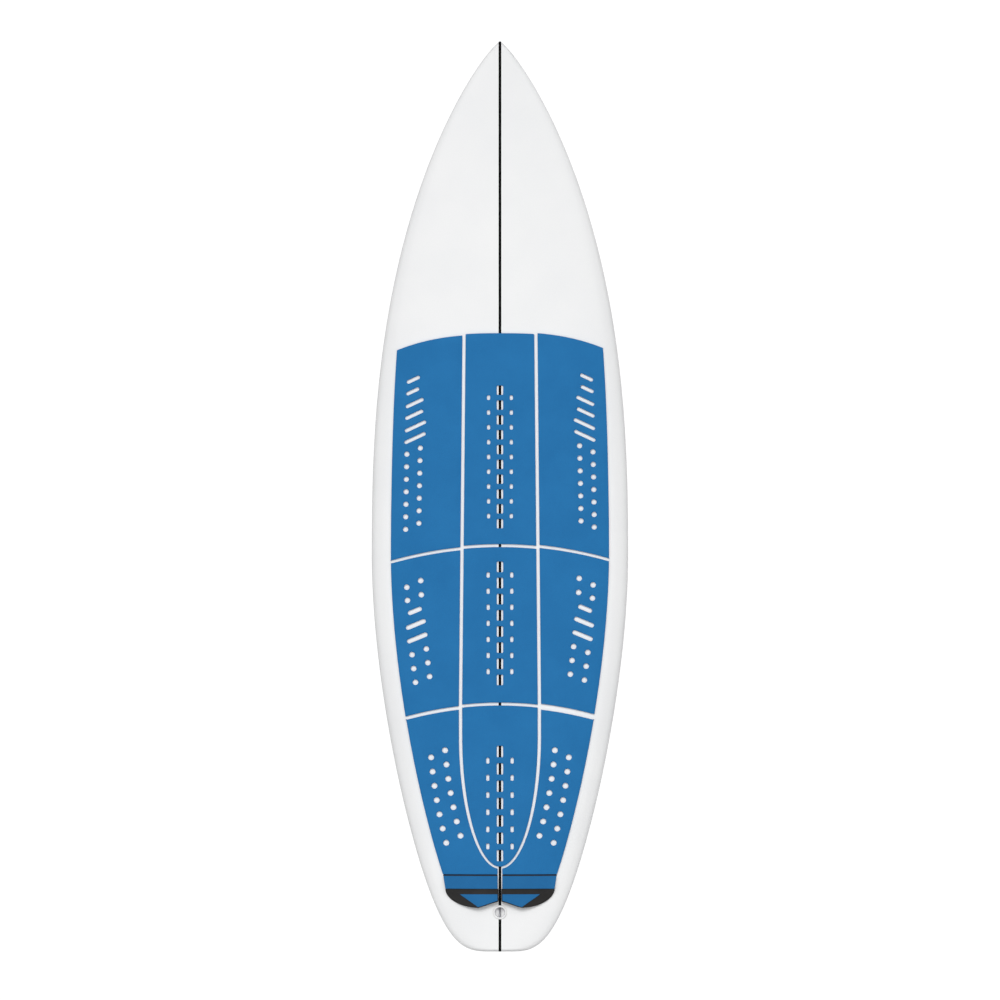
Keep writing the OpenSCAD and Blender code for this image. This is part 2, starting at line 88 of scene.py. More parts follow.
def rail_share(y):
    """Share of the thickness that lies under the rail's edge."""
    return 0.4 + 0.1 * nose_share(y) ** 2 - 0.25 * tail_share(y) ** 1.5


def foil(y):
    """Thickness on the stringer at y, before the ends are rounded."""
    nose = (THICKNESS - NOSE_TIP_T) * nose_share(y) ** 2.2
    return THICKNESS - nose - (THICKNESS - TAIL_TIP_T) * tail_share(y) ** 1.9


def rail_z(y):
    """Height of the rail's edge at y."""
    rocker = NOSE_ROCKER * nose_share(y) ** 2.4 + TAIL_ROCKER * tail_share(y) ** 2.2
    return LIFT + rocker + rail_share(y) * foil(y)


def thickness(y, inset):
    """Thickness at y with rounded ends, of the board or of a shape inset in it."""
    end = np.clip((HALF_L - np.abs(y)) / END_ROUND, 0, 1)
    t = foil(y) * np.sqrt(1 - (1 - end) ** 2)
    return t - np.minimum(2 * inset, t / 2)


def half_width(y, inset):
    """Half-width at y, of the board or of a shape inset in it."""
    return plan(y) - np.minimum(inset, plan(y) / 2)


def across(x, y, inset):
    """How far x lies from the stringer towards the rail, 0 to 1."""
    return np.clip(np.abs(x) / half_width(y, inset), 0, 1)


def deck_z(x, y, inset=0.0):
    """Height of the deck."""
    x, y = np.asarray(x, float), np.asarray(y, float)
    dome = (1 - across(x, y, inset) ** 2.4) ** (1 / 1.9)
    return rail_z(y) + (1 - rail_share(y)) * thickness(y, inset) * dome


def bottom_z(x, y, inset=0.0):
    """Height of the bottom."""
    x, y = np.asarray(x, float), np.asarray(y, float)
    belly = np.sqrt(1 - across(x, y, inset) ** 12)
    return rail_z(y) - rail_share(y) * thickness(y, inset) * belly


# ------------------------------------------------------------- mesh helpers
SHARP = 35  # degrees; edges that turn by more stay sharp


def solid(name, parts, body, replaces, materials, sharp=SHARP):
    """A closed mesh from (points, faces, material index or a list of them)."""
    points, faces, which = [], [], []
    for part in parts:
        start = len(points)
        points += [tuple(map(float, p)) for p in part[0]]
        faces += [tuple(start + i for i in f) for f in part[1]]
        index = part[2] if len(part) > 2 else 0
        which += list(index) if hasattr(index, "__len__") else [index] * len(part[1])
    mesh = bpy.data.meshes.new(name)
    mesh.from_pydata(points, [], faces)
    mesh.polygons.foreach_set("material_index", which)
    obj = bpy.data.objects.new(name, mesh)
    bpy.context.scene.collection.objects.link(obj)
    for m in materials:
        mesh.materials.append(m)
    smooth(obj, sharp)
    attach(obj, body)
    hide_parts(*replaces)
    return obj


def smooth(obj, sharp):
    """Outward normals, smooth except over edges sharper than this angle."""
    bm = bmesh.new()
    bm.from_mesh(obj.data)
    bmesh.ops.recalc_face_normals(bm, faces=bm.faces)
    bm.to_mesh(obj.data)
    bm.free()
    obj.data.shade_smooth()
    obj.data.set_sharp_from_angle(angle=math.radians(sharp))


def prism(outline, low, high, place):
    """A closed prism of a plan outline, carried to its place by a matrix."""
    n = len(outline)
    points = [place @ Vector((x, y, z)) for z in (low, high) for x, y in outline]
    sides = [(i, (i + 1) % n, n + (i + 1) % n, n + i) for i in range(n)]
    return points, sides + [tuple(range(n))[::-1], tuple(range(n, 2 * n))]


def cut(obj, cutter_parts):
    """Takes solids out of a mesh, for good."""
    cutter = bpy.data.objects.new("cutter", bpy.data.meshes.new("cutter"))
    points, faces = [], []
    for p, f in cutter_parts:
        faces += [tuple(len(points) + i for i in face) for face in f]
        points += [tuple(q) for q in p]
    cutter.data.from_pydata(points, [], faces)
    bpy.context.scene.collection.objects.link(cutter)
    smooth(cutter, SHARP)
    modifier = obj.modifiers.new("cut", "BOOLEAN")
    modifier.operation, modifier.solver, modifier.object = "DIFFERENCE", "EXACT", cutter
    bpy.context.view_layer.update()
    view = bpy.context.evaluated_depsgraph_get()
    mesh = bpy.data.meshes.new_from_object(obj.evaluated_get(view))
    obj.modifiers.clear()
    obj.data = mesh
    bpy.data.objects.remove(cutter)
    smooth(obj, SHARP)


def lathe(profile, place, turns=96):
    """A solid turned about the local Z axis; the profile starts and ends on it."""
    rim = profile[1:-1]
    points = [place @ Vector((0, 0, profile[0][1])), place @ Vector((0, 0, profile[-1][1]))]
    for k in range(turns):
        a = 2 * math.pi * k / turns
        points += [place @ Vector((r * math.cos(a), r * math.sin(a), z)) for r, z in rim]
    m = len(rim)
    faces = []
    for k in range(turns):
        here, there = 2 + k * m, 2 + (k + 1) % turns * m
        faces.append((0, there, here))
        faces.append((1, here + m - 1, there + m - 1))
        faces += [(here + j, there + j, there + j + 1, here + j + 1) for j in range(m - 1)]
    return points, faces


# ------------------------------------------------------------ plan outlines
def loop_area(loop):
    """Area inside a loop, negative if it runs clockwise."""
    x, y = loop[:, 0], loop[:, 1]
    return 0.5 * np.sum(x * np.roll(y, -1) - np.roll(x, -1) * y)


def counter_clockwise(loop):
    """The loop turned, if need be, to run that way round."""
    loop = np.asarray(loop, float)
    return loop if loop_area(loop) > 0 else loop[::-1]


def clockwise(loop):
    return counter_clockwise(loop)[::-1]


def resample(loop, step):
    """Adds points so that no side of the loop is longer than a step."""
    out = []
    for a, b in zip(loop, np.roll(loop, -1, axis=0)):
        n = max(1, math.ceil(np.linalg.norm(b - a) / step))
        out += [a + (b - a) * k / n for k in range(n)]
    return np.array(out)


def round_corners(loop, radius, turn_from=25, pieces=5):
    """Replaces each corner that turns by more than an angle with an arc."""
    out = []
    for p, a, b in zip(loop, np.roll(loop, 1, axis=0), np.roll(loop, -1, axis=0)):
        u, v = p - a, b - p
        lu, lv = np.linalg.norm(u), np.linalg.norm(v)
        u, v = u / lu, v / lv
        turn = math.atan2(u[0] * v[1] - u[1] * v[0], u @ v)
        if abs(turn) < math.radians(turn_from):
            out.append(p)
            continue
        tangent = math.tan(abs(turn) / 2)
        r = min(radius, 0.48 * min(lu, lv) / tangent)
        start = p - u * r * tangent
        left = np.array([-u[1], u[0]]) * math.copysign(1, turn)
        centre = start + left * r
        for k in range(pieces + 1):
            a = turn * k / pieces
            arm = start - centre
            c, s = math.cos(a), math.sin(a)
            out.append(centre + np.array([arm[0] * c - arm[1] * s, arm[0] * s + arm[1] * c]))
    return np.array(out)


def shifted(loop, distance):
    """The loop moved to its left by a distance, with mitred corners."""
    back, ahead = loop - np.roll(loop, 1, axis=0), np.roll(loop, -1, axis=0) - loop
    m, n = [
        np.stack([-e[:, 1], e[:, 0]], 1) / np.linalg.norm(e, axis=1)[:, None] for e in (back, ahead)
    ]
    return loop + distance * (m + n) / (1 + np.sum(m * n, axis=1))[:, None]


def inside(points, loops):
    """Which points lie inside the outline and outside its holes."""
    hit = np.zeros(len(points), int)
    px, py = points[:, 0][:, None], points[:, 1][:, None]
    for loop in loops:
        a, b = loop, np.roll(loop, -1, axis=0)
        rise = b[:, 1] - a[:, 1]
        rise = np.where(rise == 0, 1e-12, rise)
        crosses = (a[:, 1] > py) != (b[:, 1] > py)
        hit += np.sum(crosses & (px < a[:, 0] + (b[:, 0] - a[:, 0]) * (py - a[:, 1]) / rise), axis=1)
    return hit % 2 == 1


ROW_PITCH = 0.87  # share of the spacing, so that neighbours make even triangles
CLEARANCE = 0.45  # share of the spacing that is kept between points of two kinds
HALF_ROUND = 0.293  # share of a round's radius that its middle lies in and down
SNAP = 0.0004  # points of a crease this near to the rim are left out


def grid_points(loops, spacing):
    """Staggered points over the box of a region."""
    low, high = loops[0].min(0), loops[0].max(0)
    rows = np.arange(low[1] + spacing / 2, high[1], spacing * ROW_PITCH)
    points = [
        (x, y)
        for k, y in enumerate(rows)
        for x in np.arange(low[0] + spacing * (0.25 + 0.5 * (k % 2)), high[0], spacing)
    ]
    return np.array(points).reshape(-1, 2)


def far_from(points, others, distance):
    """The points that have none of the others within a distance."""
    if not len(points):
        return points
    gap = np.min(np.linalg.norm(points[:, None, :] - others[None, :, :], axis=2), axis=1)
    return points[gap > distance]


def triangulated(points, edges, flat):
    """The triangles over a region, their points, and where each point given went."""
    made = delaunay_2d_cdt([Vector(p) for p in points], edges, [], 0, 1e-8)
    at = np.array([tuple(v) for v in made[0]])
    where = {i: out for out, ids in enumerate(made[3]) for i in ids}
    triangles = np.array([f for f in made[2]])
    triangles = triangles[inside(at[triangles].mean(axis=1), flat)]
    u, v = at[triangles[:, 1]] - at[triangles[:, 0]], at[triangles[:, 2]] - at[triangles[:, 0]]
    wrong = u[:, 0] * v[:, 1] < u[:, 1] * v[:, 0]
    triangles[wrong] = triangles[wrong][:, ::-1]
    return triangles, at, where


def slab(outline, holes, low, high, edge, spacing, creases=()):
    """A layer over a plan region between two heights, its top edges rounded.

    low and high are functions of x and y, edge is the radius of the rounding
    and spacing the distance between the points of the top. creases are lines
    of points that become edges of the top, where its slope changes.
    """
    loops = [counter_clockwise(outline)] + [clockwise(h) for h in holes]
    flat = [shifted(loop, edge) for loop in loops]
    rim = np.concatenate(flat)
    points, edges, start = list(rim), [], 0
    for loop in flat:
        n = len(loop)
        edges += [(start + i, start + (i + 1) % n) for i in range(n)]
        start += n
    for line in creases:
        keep = inside(line, flat)
        clear = np.min(np.linalg.norm(line[:, None] - rim[None], axis=2), axis=1) > SNAP
        first = len(points)
        line = line[keep & clear]
        points += list(line)
        edges += [(first + i, first + i + 1) for i in range(len(line) - 1)]
    fill = grid_points(flat, spacing)
    fill = far_from(fill[inside(fill, flat)], np.array(points), spacing * CLEARANCE)
    triangles, at, where = triangulated(points + list(fill), edges, flat)

    m = len(at)
    verts = [(x, y, z) for (x, y), z in zip(at, high(at[:, 0], at[:, 1]))]
    verts += [(x, y, z) for (x, y), z in zip(at, low(at[:, 0], at[:, 1]))]
    faces = [tuple(t) for t in triangles] + [tuple(m + i for i in t[::-1]) for t in triangles]
    start = 0
    for loop in loops:
        n = len(loop)
        top = [where[start + i] for i in range(n)]
        rings = [top]
        for share, drop in ((HALF_ROUND, HALF_ROUND), (0.0, 1.0)):
            ring = shifted(loop, edge * share) if share else loop
            z = high(ring[:, 0], ring[:, 1]) - edge * drop
            rings.append(list(range(len(verts), len(verts) + n)))
            verts += [(x, y, h) for (x, y), h in zip(ring, z)]
        rings.append(list(range(len(verts), len(verts) + n)))
        verts += [(x, y, h) for (x, y), h in zip(loop, low(loop[:, 0], loop[:, 1]))]
        rings.append([m + i for i in top])
        for inner_ring, outer_ring in zip(rings, rings[1:]):
            for i in range(n):
                j = (i + 1) % n
                faces.append((outer_ring[i], outer_ring[j], inner_ring[j], inner_ring[i]))
        start += n
    return verts, faces


# ---------------------------------------------------------------- deck grip
FILM_T, PAD_T = 0.0003, 0.005
PAD_GAP, ROW_GAP = 0.0065, 0.006
TAIL_SIDE_GAP = 0.0095  # the tail's side pads stand further back than its centre
SIDE_LEAD = 0.0023  # the other side pads lie forward on the right and back on the left
OUTLINE_STEP = 0.004
CORNER_R = 0.002
FRONT, TAIL = 0, 2  # rows; the middle one is 1
# About how far from the stringer the rows' curves meet the pads' long edges.
CENTRE_X, SIDE_X, EDGE_X, TAIL_EDGE_X = 0.072, 0.080, 0.205, 0.186
# Rounding of the top edges, and spacing of the points, of each kind of layer.
PAD_MESH = (0.0008, 0.007)
FACING_MESH = (0.0008, 0.005)
WEDGE_MESH = (0.0012, 0.003)
FILM_MESH = (0.0001, 0.012)


# Edges across the board, each a curve in the distance d from the stringer.
def front_top(d):
    return 0.331 - 0.0287 * (np.abs(d) / 0.2) ** 2.6


def front_bottom(d):
    return -0.0936 - d * d / 1.56


def mid_bottom(d):
    return -0.4127 - d * d / 1.38


def row_bottom(row, d):
    return [front_bottom, mid_bottom][row](d)


def row_top(row, d):
    return front_top(d) if row == FRONT else row_bottom(row - 1, d) - ROW_GAP


def tail_side_top(d):
    return mid_bottom(d) - TAIL_SIDE_GAP


def pad_edge(y):
    """Outer edge, nearly parallel to the rail and closer to it at the front."""
    return plan(y) - 0.039 + 0.010 * ((np.maximum(y, -0.020) + 0.020) / 0.315) ** 2


def lane_gap(y):
    """Middle of the lengthwise gap beside the centre pads."""
    return 0.0754 + (0.009 - y) * 0.0096


BOWL_Y, BOWL_W, BOWL_L = -0.480, 0.0794, 0.265  # the tail's centre pad ends in half an ellipse
KICK_GAP = 0.0045  # half of the gap between the tail's side pads
CORE_GAP = 0.003  # and between the raised parts of the two kicks
GROOVE_Y, GROOVE_W = -0.760, 0.003


def bowl(degrees, grow):
    """The half ellipse grown or shrunk for its gap, narrower at the bottom."""
    a = np.radians(degrees)
    return np.stack([(BOWL_W + grow) * np.cos(a), BOWL_Y - (BOWL_L + 0.7 * grow) * np.sin(a)], 1)


def along_x(x0, x1, curve):
    """Points on a curve y(x)."""
    x = np.linspace(x0, x1, max(2, math.ceil(abs(x1 - x0) / OUTLINE_STEP)))
    return np.stack([x, curve(x)], 1)


def along_y(y0, y1, curve):
    """Points on a curve x(y)."""
    y = np.linspace(y0, y1, max(2, math.ceil(abs(y1 - y0) / OUTLINE_STEP)))
    return np.stack([curve(y), y], 1)


def joined(*lines):
    """Lines end to end as one loop, with repeated points taken out."""
    loop = np.concatenate(lines)
    gap = np.linalg.norm(loop - np.roll(loop, 1, axis=0), axis=1)
    return resample(counter_clockwise(loop[gap > 1e-5]), OUTLINE_STEP)


def centre_outline(row):
    """Outline of a row's centre pad."""
    if row == TAIL:
        w = BOWL_W - PAD_GAP / 2
        top = along_x(-w, w, lambda x: row_top(row, x))
        return joined(top, bowl(np.linspace(0, 180, 90), -PAD_GAP / 2))
    upper = lane_gap(row_top(row, CENTRE_X)) - PAD_GAP / 2
    lower = lane_gap(row_bottom(row, CENTRE_X)) - PAD_GAP / 2
    return joined(
        along_x(-upper, upper, lambda x: row_top(row, x)),
        along_x(lower, -lower, lambda x: row_bottom(row, x)),
    )


def side_outline(row):
    """Outline of a row's right-hand pad."""
    if row == TAIL:
        grown = BOWL_W + PAD_GAP / 2
        first = float(tail_side_top(TAIL_EDGE_X))
        bowl_end = math.degrees(math.acos(KICK_GAP / grown))
        end_y = GROOVE_Y + GROOVE_W / 2
        return joined(
            bowl(np.linspace(bowl_end, 0, 60), PAD_GAP / 2),
            along_x(grown, float(pad_edge(first)), tail_side_top),
            along_y(first, end_y, pad_edge),
            np.array([[KICK_GAP, end_y]]),
        )
    upper = lane_gap(row_top(row, SIDE_X)) + PAD_GAP / 2
    lower = lane_gap(row_bottom(row, SIDE_X)) + PAD_GAP / 2
    top_y, bottom_y = float(row_top(row, EDGE_X)), float(row_bottom(row, EDGE_X))
    top = along_x(upper, float(pad_edge(top_y)), lambda x: row_top(row, x))
    bottom = along_x(float(pad_edge(bottom_y)), lower, lambda x: row_bottom(row, x))
    return joined(top, along_y(top[-1][1], bottom[0][1], pad_edge), bottom)


def slot_loop(x, y, length, width, degrees):
    """A round-ended slot about (x, y)."""
    half, r, a = (length - width) / 2, width / 2, math.radians(degrees)
    arcs = np.concatenate([np.linspace(-90, 90, 11), np.linspace(90, 270, 11)])
    ends = np.repeat([half, -half], 11)
    px = ends + r * np.cos(np.radians(arcs))
    py = r * np.sin(np.radians(arcs))
    c, s = math.cos(a), math.sin(a)
    return resample(np.stack([x + px * c - py * s, y + px * s + py * c], 1), OUTLINE_STEP)


def window_loop(x, y, width, length):
    """A rectangle with small round corners about (x, y)."""
    w, h = width / 2, length / 2
    corners = np.array([(x - w, y - h), (x + w, y - h), (x + w, y + h), (x - w, y + h)])
    return resample(round_corners(corners, WINDOW_R), OUTLINE_STEP)


def dot_loop(x, y, diameter):
    """A round hole about (x, y)."""
    a = np.linspace(0, 2 * math.pi, 25)[:-1]
    return np.stack([x + diameter / 2 * np.cos(a), y + diameter / 2 * np.sin(a)], 1)


def slanted(y, length, width, tilt, margin):
    """A slot whose outer end lies a fixed distance inside the pad's edge."""
    x = pad_edge(y) - margin - length / 2 * math.cos(math.radians(tilt))
    return slot_loop(x, y, length, width, -tilt)


def edge_dots(count, margin, y0, pitch, diameter):
    """Round holes in a row inside the pad's edge, from y0 backwards."""
    rows = [y0 - pitch * k for k in range(count)]
    return [dot_loop(pad_edge(y) - margin, y, diameter) for y in rows]


def bent_dots(count, x0, y0, pitch, diameter, bend):
    """Round holes in a row that bends towards the stringer."""
    return [
        dot_loop(x0 - bend[0] * k - bend[1] * k * k, y0 - pitch * k, diameter)
        for k in range(count)
    ]


FRONT_DOT, MID_DOT, TAIL_DOT = 0.0105, 0.0113, 0.012


def front_side_holes():
    """Three pairs of slots, longer from pair to pair, and two rows of dots."""
    lengths = (0.0285, 0.0395, 0.047)
    slots = [slanted(0.2399 - 0.0235 * k, lengths[k // 2], 0.0072, 25, 0.024) for k in range(6)]
    inner = edge_dots(7, 0.0564, 0.1024, 0.02525, FRONT_DOT)
    outer = edge_dots(7, 0.0297, 0.090, 0.02525, FRONT_DOT)
    return slots + inner + outer


def mid_side_holes():
    """Three slots between two groups of dots."""
    sizes = ((0.030, 0.0304), (0.043, 0.0243), (0.044, 0.0243))  # length, distance from the edge
    slots = [
        slanted(-0.226 - 0.0272 * k, length, 0.009, 22.5, margin)
        for k, (length, margin) in enumerate(sizes)
    ]
    upper = edge_dots(2, 0.0593, -0.1648, 0.0284, MID_DOT)
    upper += edge_dots(2, 0.0307, -0.1782, 0.0265, MID_DOT)
    lower = edge_dots(3, 0.0606, -0.3023, 0.0278, MID_DOT)
    lower += edge_dots(3, 0.0306, -0.3142, 0.0278, MID_DOT)
    return slots + upper + lower


def tail_side_holes():
    """Two rows of dots that bend with the bowl."""
    inner = bent_dots(7, 0.1106, -0.5088, 0.02865, TAIL_DOT, (0.0023, 0.00048))
    outer = bent_dots(7, 0.1387, -0.5232, 0.02865, TAIL_DOT, (0.0025, 0.00043))
    return inner + outer


# Windows of the centre pads, over the stringer and beside it: for each row the
# count, first y, pitch and length of both, and the second kind's distance across.
CENTRE_ROWS = [
    (10, 0.2162, 0.02985, 0.019, 9, 0.2013, 0.0298, 0.0095, 0.0229),
    (8, -0.1394, 0.03255, 0.0215, 7, -0.1558, 0.0324, 0.011, 0.0238),
    (7, -0.5113, 0.0349, 0.023, 6, -0.5298, 0.0345, 0.012, 0.0245),
]
WINDOW_W, DASH_W, WINDOW_R = 0.0128, 0.0064, 0.0024


def centre_holes(row):
    """Windows over the stringer and dashes on both sides of it."""
    windows, y0, pitch, length, dashes, dash_y0, dash_pitch, dash_l, offset = CENTRE_ROWS[row]
    holes = [window_loop(0, y0 - pitch * k, WINDOW_W, length) for k in range(windows)]
    for k in range(dashes):
        for side in (-1, 1):
            holes.append(window_loop(side * offset, dash_y0 - dash_pitch * k, DASH_W, dash_l))
    return holes


def on_side(side, loop):
    """The loop on the right (1), or its mirror image on the left (-1)."""
    return loop * np.array([side, 1.0])


def over_deck(height):
    """A surface at a height over the deck, as a function of x and y."""
    return lambda x, y: deck_z(x, y) + height


def pad_regions(row):
    """(name, outline, holes) of the three pads in a row."""
    side = side_outline(row)
    holes = [front_side_holes, mid_side_holes, tail_side_holes][row]()
    lead = np.array([0, 0 if row == TAIL else SIDE_LEAD])
    return [
        ("left", on_side(-1, side) - lead, [on_side(-1, h) - lead for h in holes]),
        ("centre", centre_outline(row), centre_holes(row)),
        ("right", side + lead, [h + lead for h in holes]),
    ]


# Kick: a black foam wedge with a blue facing on its slope and a blue cap.
KICK_H, FACING_T = 0.024, 0.003
CORNER_X, CORNER_Y = 0.044, -0.787
REAR_Y, MIDDLE_Y = -0.825, -0.8125
SLOPE_TOP_Y, BAND_TOP_Y = -0.787, -0.7965
BEVEL_OUT, BEVEL_IN = np.array([0.082, BAND_TOP_Y]), np.array([0.046, -0.823])
BEVEL_SLOPE = 38
CAP_INSET = 0.0018
FACING_R = CORNER_R * 0.6
BEYOND_SIDE = 0.12  # further out than the kick's side
LAP = 0.001  # the cap and the step in the gap start this far behind a crease
SIDE_TAPER = 0.16  # the kick's side runs in this much for each metre towards the tail
BAND_DROP = 0.002  # the top falls this much from its rear edge to the band
SLOPE_RISE = 0.45  # height of the slope's top, as a share of the kick's height


def kick_side(y):
    """Outer side of the kick, narrower towards the tail."""
    return float(pad_edge(GROOVE_Y)) + SIDE_TAPER * (y - GROOVE_Y)


def kick_wave(inset=0.0):
    """The kick's rear edge, from its lowest point to the middle."""
    t = np.linspace(0, 1, 14)
    y = REAR_Y + (MIDDLE_Y - REAR_Y) * (0.75 * t + 0.125 * (1 - np.cos(math.pi * t)))
    return np.stack([CORNER_X + (CORE_GAP + inset - CORNER_X) * t, y + inset], 1)


def kick_outline(y_start):
    """The right kick from its front edge, with a step in the gap between the kicks."""
    width = kick_side(CORNER_Y) - CORNER_X
    a = np.radians(np.linspace(0, 90, 26))
    depth = REAR_Y - CORNER_Y
    corner = np.stack([CORNER_X + width * np.cos(a), CORNER_Y + depth * np.sin(a)], 1)
    step_y = SLOPE_TOP_Y - LAP
    step = np.array([[CORE_GAP, step_y], [KICK_GAP, step_y], [KICK_GAP, y_start]])
    return joined(step, np.array([[kick_side(y_start), y_start]]), corner, kick_wave())


def cap_outline():
    """The right cap, set in from the wedge's rear edge."""
    first = np.array([[CORE_GAP + CAP_INSET, BAND_TOP_Y - LAP], BEVEL_OUT - [LAP, LAP]])
    return joined(first, kick_wave(CAP_INSET))


def face_outline():
    """The right facing, from the groove to the slope's top."""
    start = GROOVE_Y - GROOVE_W / 2
    ends = [(KICK_GAP, SLOPE_TOP_Y), (KICK_GAP, start)]
    return joined(np.array(ends + [(kick_side(y), y) for y in (start, SLOPE_TOP_Y)]))


def core_height(y):
    """Height of the wedge's top over the deck: a slope, a steep band, a top."""
    top, foot = KICK_H - FACING_T, FILM_T + PAD_T - FACING_T
    places = [REAR_Y, BAND_TOP_Y, SLOPE_TOP_Y, GROOVE_Y]
    return np.interp(y, places, [top, top - BAND_DROP, KICK_H * SLOPE_RISE, foot])


def wedge_top(x, y):
    """The wedge's top with its rear corners bevelled."""
    run = (BEVEL_IN - BEVEL_OUT) / np.linalg.norm(BEVEL_IN - BEVEL_OUT)
    beyond = (np.abs(x) - BEVEL_OUT[0]) * -run[1] + (y - BEVEL_OUT[1]) * run[0]
    ridge = core_height(np.minimum(y, BAND_TOP_Y))
    bevelled = ridge - math.tan(math.radians(BEVEL_SLOPE)) * np.maximum(beyond, 0)
    return deck_z(x, y) + np.minimum(core_height(y), bevelled)


def crease(a, b, step=0.002):
    """Points on a line from a to b."""
    n = math.ceil(math.dist(a, b) / step)
    return np.array([np.array(a) + (np.array(b) - a) * k / n for k in range(n + 1)])


def film_slab(outline, holes):
    """A film of adhesive on the deck."""
    return slab(outline, holes, over_deck(0), over_deck(FILM_T), *FILM_MESH)


def build_grip(blue, film):
    """The pads and the adhesive under them, row by row."""
    names = ("front", "mid", "tail")
    for row, row_name in enumerate(names):
        films = []
        for part, outline, holes in pad_regions(row):
            outline = round_corners(outline, CORNER_R)
            shape = slab(outline, holes, over_deck(FILM_T), over_deck(FILM_T + PAD_T), *PAD_MESH)
            pad = solid(f"grip_{row_name}_{part}", [shape], "board",
                        [f"{row_name}_pad_{part}"], [blue])
            films.append(film_slab(outline, holes))
        if row == TAIL:
            kick = kick_outline(GROOVE_Y + GROOVE_W / 2)
            films += [film_slab(on_side(side, kick), []) for side in (-1, 1)]
        solid(f"grip_film_{row_name}", films, "board", [f"{row_name}_adhesive"], [film])


def build_kick(blue, black):
    """The two wedges, each with a facing on its slope and a cap on its top."""
    for side, part in ((-1, "left"), (1, "right")):
        core = round_corners(kick_outline(GROOVE_Y + GROOVE_W / 2), CORNER_R)
        bevel_start = (side * (BEVEL_OUT[0] - LAP), BEVEL_OUT[1] - 0.7 * LAP)
        lines = [
            crease((side * CORE_GAP, SLOPE_TOP_Y), (side * BEYOND_SIDE, SLOPE_TOP_Y)),
            crease((side * CORE_GAP, BAND_TOP_Y), (side * BEVEL_OUT[0], BAND_TOP_Y)),
            crease(bevel_start, (side * BEVEL_IN[0], BEVEL_IN[1])),
        ]
        shape = slab(on_side(side, core), [], over_deck(FILM_T), wedge_top, *WEDGE_MESH, lines)
        wedge = solid(f"kick_wedge_{part}", [shape], "board",
                      [f"kick_core_{part}"], [black], sharp=25)
        facing = round_corners(face_outline(), FACING_R)
        cap = round_corners(cap_outline(), FACING_R)
        # blue is here the darker copy of the grip blue, its painted shade standing in for the kick's
        # shade
        for name, outline in (("face", facing), ("top", cap)):
            shape = slab(
                on_side(side, outline), [],
                lambda x, y: deck_z(x, y) + core_height(y),
                lambda x, y: deck_z(x, y) + core_height(y) + FACING_T, *FACING_MESH,
            )
            solid(f"kick_{name}_pad_{part}", [shape], "board",
                                [f"kick_{name}_{part}"], [blue])


# ------------------------------------------------------------------- skins
STATIONS = 280
RAIL_STEPS, FLAT_STEPS = 20, 16
FLAT_SHARE = 0.8
LINE_SHARE = 0.85  # the most of the board's width that the stringer line takes at a tip


def lane_shares(power):
    """Places from the stringer (0) to the rail (1), closer at the rail."""
    flat = np.linspace(0, FLAT_SHARE, FLAT_STEPS + 1)[:-1]
    first = math.asin(FLAT_SHARE ** (power / 2))
    angle = math.pi / 2 - (math.pi / 2 - first) * np.linspace(1, 0, RAIL_STEPS) ** 1.6
    return np.concatenate([flat, np.sin(angle) ** (2 / power)])


def skin(height, power):
    """A glass skin as a closed shell, its stringer line in material 1."""
    shares = lane_shares(power)
    shares = np.concatenate([-shares[::-1], shares])
    lanes = len(shares)
    y_out = -HALF_L * np.cos(np.pi * np.arange(STATIONS + 1) / STATIONS)
    shells = []
    for inset in (0.0, SKIN_T):
        y = y_out[:, None] * np.ones(lanes)
        w = half_width(y, inset)
        c = np.minimum(STRINGER_HALF, w * LINE_SHARE)
        x = np.sign(shares) * c + (w - c) * shares
        x[:, lanes // 2 - 1], x[:, lanes // 2] = -c[:, 0], c[:, 0]
        shells.append(np.stack([x, y * (1 - inset / HALF_L), height(x, y, inset)], 2).reshape(-1, 3))
    points = np.concatenate(shells)
    n = (STATIONS + 1) * lanes
    faces, which = [], []
    for i in range(STATIONS):
        for j in range(lanes - 1):
            a, b, c, d = i * lanes + j, i * lanes + j + 1, (i + 1) * lanes + j + 1, (i + 1) * lanes + j
            faces += [(a, b, c, d), (n + d, n + c, n + b, n + a)]
            which += [int(j == lanes // 2 - 1)] * 2
    border = [i * lanes for i in range(STATIONS + 1)]
    border += [STATIONS * lanes + j for j in range(1, lanes)]
    border += [i * lanes + lanes - 1 for i in range(STATIONS - 1, -1, -1)]
    border += list(range(lanes - 2, 0, -1))
    for a, b in zip(border, border[1:] + border[:1]):
        faces.append((a, b, n + b, n + a))
        which.append(0)
    return points, faces, which


# -------------------------------------------------------------- leash plug
LEASH_Y = -0.835
CUP_R, RECESS_R, RECESS_H = 0.014, 0.010, 0.012
CUP_H = RECESS_H + 0.0035
BAR_R, BAR_L, BAR_DEPTH = 0.0022, 0.025, 0.0046
PLUG_GAP = 0.0005  # fine line between the plug and the skin


def leash_frame():
    """The plug's frame: y along the stringer, z out of the deck."""
    rise = deck_z(0, LEASH_Y + PROBE) - deck_z(0, LEASH_Y - PROBE)
    slope = math.atan(rise / (2 * PROBE))
    place = Matrix.Translation((0, LEASH_Y, float(deck_z(0, LEASH_Y))))
    return place @ Matrix.Rotation(slope, 4, "X")


def arc(centre, r, start, end, n=7):
    """Points on an arc between two angles in degrees."""
    angles = np.radians(np.linspace(start, end, n))
    return [(centre[0] + r * math.cos(a), centre[1] + r * math.sin(a)) for a in angles]


